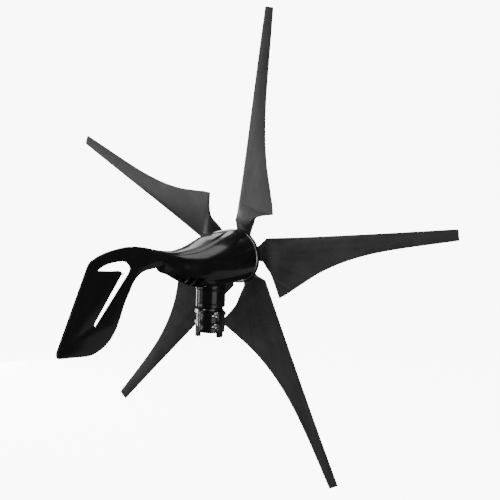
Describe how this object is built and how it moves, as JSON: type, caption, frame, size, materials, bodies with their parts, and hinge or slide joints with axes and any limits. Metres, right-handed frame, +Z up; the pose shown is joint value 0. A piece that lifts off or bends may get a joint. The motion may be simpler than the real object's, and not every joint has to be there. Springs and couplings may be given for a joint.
{
  "type": "small wind turbine",
  "caption": "Small horizontal-axis wind turbine with swept tapering blades, a streamlined nacelle, a cut-out tail vane and a bolted clamp for a round mast.",
  "frame": {"origin": "on the yaw axis, in the lower face of the mast clamp's body, which is the mouth of the mast socket", "axes": "+X along the rotor axis towards the nose, +Y to the left seen from behind the rotor, +Z up along the yaw axis"},
  "size_m": [0.657, 1.1432, 1.123],
  "materials": {
    "gloss_black_paint": "high-gloss black paint on cast aluminium",
    "charcoal_nylon": "satin charcoal glass-filled nylon",
    "zinc_plated_steel": "zinc plated",
    "ground_steel": "turned and ground",
    "cast_aluminium": "as cast, machined seats",
    "electrical_steel": "laminated",
    "enamelled_copper": "varnished winding",
    "brass": "turned",
    "magnet_plating": "nickel plated",
    "black_moulding": "moulded",
    "black_rubber": "moulded",
    "brush_carbon": "sintered graphite"
  },
  "bodies": {
    "mast_mount": {"clamp_rear_half": "gloss_black_paint", "clamp_front_half": "gloss_black_paint", "clamp_bolt_1": "zinc_plated_steel", "clamp_bolt_2": "zinc_plated_steel", "clamp_bolt_3": "zinc_plated_steel", "clamp_bolt_4": "zinc_plated_steel", "yaw_shaft": "ground_steel", "cable_grommet": "black_rubber", "yaw_bearing_inner_race": "ground_steel", "yaw_nut": "zinc_plated_steel", "slip_ring_carrier": "black_moulding", "slip_ring_1": "brass", "slip_ring_2": "brass", "slip_ring_3": "brass"},
    "nacelle": {"nacelle_cover": "gloss_black_paint", "nacelle_base": "gloss_black_paint", "tail_vane": "gloss_black_paint", "yaw_housing": "gloss_black_paint", "yaw_bush": "brass", "yaw_bearing_outer_race": "ground_steel", "generator_front_cover": "cast_aluminium", "rear_bearing_plate": "cast_aluminium", "stator_core": "electrical_steel", "stator_winding_rear": "enamelled_copper", "stator_winding_front": "enamelled_copper", "rear_bearing_outer_race": "ground_steel", "front_bearing_outer_race": "ground_steel", "brush_holder": "black_moulding", "terminal_block": "black_moulding"},
    "rotor": {"hub_plate": "gloss_black_paint", "blade_clamp_plate": "cast_aluminium", "blade_1": "charcoal_nylon", "blade_2": "charcoal_nylon", "blade_3": "charcoal_nylon", "blade_4": "charcoal_nylon", "blade_5": "charcoal_nylon", "blade_bolt_1": "zinc_plated_steel", "blade_bolt_2": "zinc_plated_steel", "blade_bolt_3": "zinc_plated_steel", "blade_bolt_4": "zinc_plated_steel", "blade_bolt_5": "zinc_plated_steel", "blade_bolt_6": "zinc_plated_steel", "blade_bolt_7": "zinc_plated_steel", "blade_bolt_8": "zinc_plated_steel", "blade_bolt_9": "zinc_plated_steel", "blade_bolt_10": "zinc_plated_steel", "nose_cone": "gloss_black_paint", "shaft_nut": "zinc_plated_steel", "main_shaft": "ground_steel", "rotor_core": "electrical_steel", "magnet_ring": "magnet_plating", "rear_bearing_inner_race": "ground_steel", "front_bearing_inner_race": "ground_steel"},
    "brush_1_carriage": {"brush_1": "brush_carbon"},
    "brush_2_carriage": {"brush_2": "brush_carbon"},
    "brush_3_carriage": {"brush_3": "brush_carbon"},
    "yaw_cage": {"yaw_bearing_balls": "zinc_plated_steel"},
    "rear_cage": {"rear_bearing_balls": "zinc_plated_steel"},
    "front_cage": {"front_bearing_balls": "zinc_plated_steel"}
  },
  "joints": [
    {"name": "nacelle_yaw", "type": "hinge", "parent": "mast_mount", "child": "nacelle", "pos_m": [0, 0, 0.0765], "axis": [0, 0, 1], "continuous": true},
    {"name": "rotor_spin", "type": "hinge", "parent": "nacelle", "child": "rotor", "pos_m": [0.09, 0, 0.169], "axis": [1, 0, 0], "continuous": true},
    {"name": "brush_1_wear", "type": "slide", "parent": "nacelle", "child": "brush_1_carriage", "axis": [-1, 0, 0], "range_m": [0, 0.003], "stiffness_N_per_m": 60, "springref_m": -0.004},
    {"name": "brush_2_wear", "type": "slide", "parent": "nacelle", "child": "brush_2_carriage", "axis": [-1, 0, 0], "range_m": [0, 0.003], "stiffness_N_per_m": 60, "springref_m": -0.004},
    {"name": "brush_3_wear", "type": "slide", "parent": "nacelle", "child": "brush_3_carriage", "axis": [-1, 0, 0], "range_m": [0, 0.003], "stiffness_N_per_m": 60, "springref_m": -0.004},
    {"name": "yaw_cage_orbit", "type": "hinge", "parent": "mast_mount", "child": "yaw_cage", "pos_m": [0, 0, 0.0765], "axis": [0, 0, 1], "continuous": true},
    {"name": "rear_cage_orbit", "type": "hinge", "parent": "nacelle", "child": "rear_cage", "pos_m": [0.029, 0, 0.169], "axis": [1, 0, 0], "continuous": true},
    {"name": "front_cage_orbit", "type": "hinge", "parent": "nacelle", "child": "front_cage", "pos_m": [0.0785, 0, 0.169], "axis": [1, 0, 0], "continuous": true}
  ],
  "couplings": [
    {"joint": "yaw_cage_orbit", "follows": "nacelle_yaw", "ratio": 0.545},
    {"joint": "rear_cage_orbit", "follows": "rotor_spin", "ratio": 0.433},
    {"joint": "front_cage_orbit", "follows": "rotor_spin", "ratio": 0.433}
  ]
}
